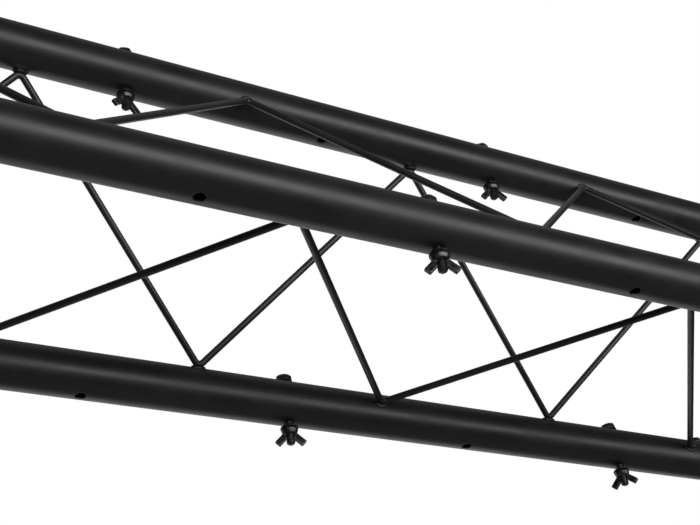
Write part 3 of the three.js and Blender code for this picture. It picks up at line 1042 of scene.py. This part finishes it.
class TRUSS_OT_chords(bpy.types.Operator):
    """Makes the three drilled chord tubes"""

    bl_idname = "truss.chords"
    bl_label = "Chord Tubes"

    def execute(self, context):
        sizes = context.scene.truss_sizes
        drilled_tubes(
            "chord", "tube", sizes.tube_radius, sizes.tube_wall, sizes.tube_edge,
            station_places(), "tube_powder_coat", "powder_coat",
        )
        return {"FINISHED"}


class TRUSS_OT_spigots(bpy.types.Operator):
    """Makes the three joining spigots"""

    bl_idname = "truss.spigots"
    bl_label = "Spigots"

    def execute(self, context):
        sizes = context.scene.truss_sizes
        drilled_tubes(
            "spigot", "sleeve", sizes.spigot_radius, sizes.spigot_wall, sizes.spigot_edge,
            [], "zinc_plate", "spigot_steel",
        )
        return {"FINISHED"}


class TRUSS_OT_braces(bpy.types.Operator):
    """Makes the three zigzag rods"""

    bl_idname = "truss.braces"
    bl_label = "Braces"

    def execute(self, context):
        sizes = context.scene.truss_sizes
        for face in FACES:
            plane = FacePlane(face)
            solid = Solid()
            sweep(solid, plane.path(), sizes.rod_radius, plane.outward, ROD_END_EDGE)
            add_solid(solid, f"brace_{face}", "rod", "rod_powder_coat", "powder_coat")
        return {"FINISHED"}


class TRUSS_OT_welds(bpy.types.Operator):
    """Lays a weld bead round each bend of each brace"""

    bl_idname = "truss.welds"
    bl_label = "Welds"

    def execute(self, context):
        for face in FACES:
            plane = FacePlane(face)
            solid = Solid()
            for bend in range(plane.bends):
                plane.weld(solid, bend)
            name = f"welds_{face}"
            add_piece(name, solid.to_mesh(name), "weld_powder_coat", "root", "powder_coat")
        return {"FINISHED"}


class TRUSS_OT_lock_fasteners(bpy.types.Operator):
    """Makes the bolts and nuts that lock the spigots"""

    bl_idname = "truss.lock_fasteners"
    bl_label = "Lock Bolts and Nuts"

    def execute(self, context):
        sizes = context.scene.truss_sizes
        for chord in CHORDS:
            bolt, nut = f"lock_bolt_{chord}", f"lock_nut_{chord}"
            add_solid(bolt_solid(bolt), bolt, "threaded", *HARDWARE)
            low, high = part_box(nut)
            centre = middle(nut)
            solid = Solid()
            hexagon(solid, centre, turn_of(nut, centre, 6), low.z, high.z, True, sizes.nut_bore)
            add_solid(solid, nut, "hexagon", *HARDWARE)
        return {"FINISHED"}


class TRUSS_OT_fixture_bolts(bpy.types.Operator):
    """Makes the nine fixture bolts"""

    bl_idname = "truss.fixture_bolts"
    bl_label = "Fixture Bolts"

    def execute(self, context):
        for label in BOLTS:
            node = f"bolt_{label}"
            add_solid(bolt_solid(node), node, "threaded", *HARDWARE, node)
        return {"FINISHED"}


class TRUSS_OT_washers(bpy.types.Operator):
    """Makes the washer under each bolt head and the clamping washer on each wing nut"""

    bl_idname = "truss.washers"
    bl_label = "Washers"

    def execute(self, context):
        for label in BOLTS:
            for kind, body in (("head", f"bolt_{label}"), ("clamp", f"clamp_{label}")):
                node = f"{kind}_washer_{label}"
                add_solid(washer_solid(node), node, "ring", *HARDWARE, body)
        return {"FINISHED"}


class TRUSS_OT_wing_nuts(bpy.types.Operator):
    """Makes the nine forged wing nuts, each left at its own angle"""

    bl_idname = "truss.wing_nuts"
    bl_label = "Wing Nuts"

    def execute(self, context):
        forging = forged_wing_nut()
        for label in BOLTS:
            node = f"wing_nut_{label}"
            name = f"{node}_forged"
            centre = middle(f"bolt_{label}")
            place = Matrix.Translation((centre.x, centre.y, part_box(node)[1].z))
            mesh = forging.copy()
            mesh.name = name
            mesh.transform(place @ Matrix.Rotation(turn_of(node, centre, 2), 4, "Z"))
            add_piece(
                name, mesh, "forged_black", node, "black_hardware", node, sharp=FORGED_SHARP_DEGREES
            )
        bpy.data.meshes.remove(forging)
        return {"FINISHED"}


class TRUSS_PT_panel(bpy.types.Panel):
    """Lists the steps that build the truss section"""

    bl_idname = "TRUSS_PT_panel"
    bl_label = "Lighting Truss"
    bl_space_type = "VIEW_3D"
    bl_region_type = "UI"
    bl_category = "Truss"

    def draw(self, context):
        scene = context.scene
        for operator in OPERATORS:
            self.layout.operator(operator.bl_idname)
        for settings in (scene.truss_sizes, scene.truss_finish, scene.truss_stage):
            box = self.layout.box()
            for name in settings.__annotations__:
                box.prop(settings, name)


OPERATORS = (
    TRUSS_OT_stage,
    TRUSS_OT_chords,
    TRUSS_OT_spigots,
    TRUSS_OT_braces,
    TRUSS_OT_welds,
    TRUSS_OT_lock_fasteners,
    TRUSS_OT_fixture_bolts,
    TRUSS_OT_washers,
    TRUSS_OT_wing_nuts,
)
SETTINGS = {"truss_sizes": TrussSizes, "truss_finish": TrussFinish, "truss_stage": TrussStage}


def register():
    for kind in (*SETTINGS.values(), *OPERATORS, TRUSS_PT_panel):
        bpy.utils.register_class(kind)
    for name, kind in SETTINGS.items():
        setattr(bpy.types.Scene, name, PointerProperty(type=kind))


def unregister():
    for name in SETTINGS:
        delattr(bpy.types.Scene, name)
    for kind in (TRUSS_PT_panel, *reversed(OPERATORS), *SETTINGS.values()):
        bpy.utils.unregister_class(kind)


def main():
    register()
    bpy.ops.truss.stage()
    bpy.ops.truss.chords()
    bpy.ops.truss.spigots()
    bpy.ops.truss.braces()
    bpy.ops.truss.welds()
    bpy.ops.truss.lock_fasteners()
    bpy.ops.truss.fixture_bolts()
    bpy.ops.truss.washers()
    bpy.ops.truss.wing_nuts()
    boxes = [[list(corner) for corner in box] for box in (CAD_BOX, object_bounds())]


if __name__ == "__main__":
    main()
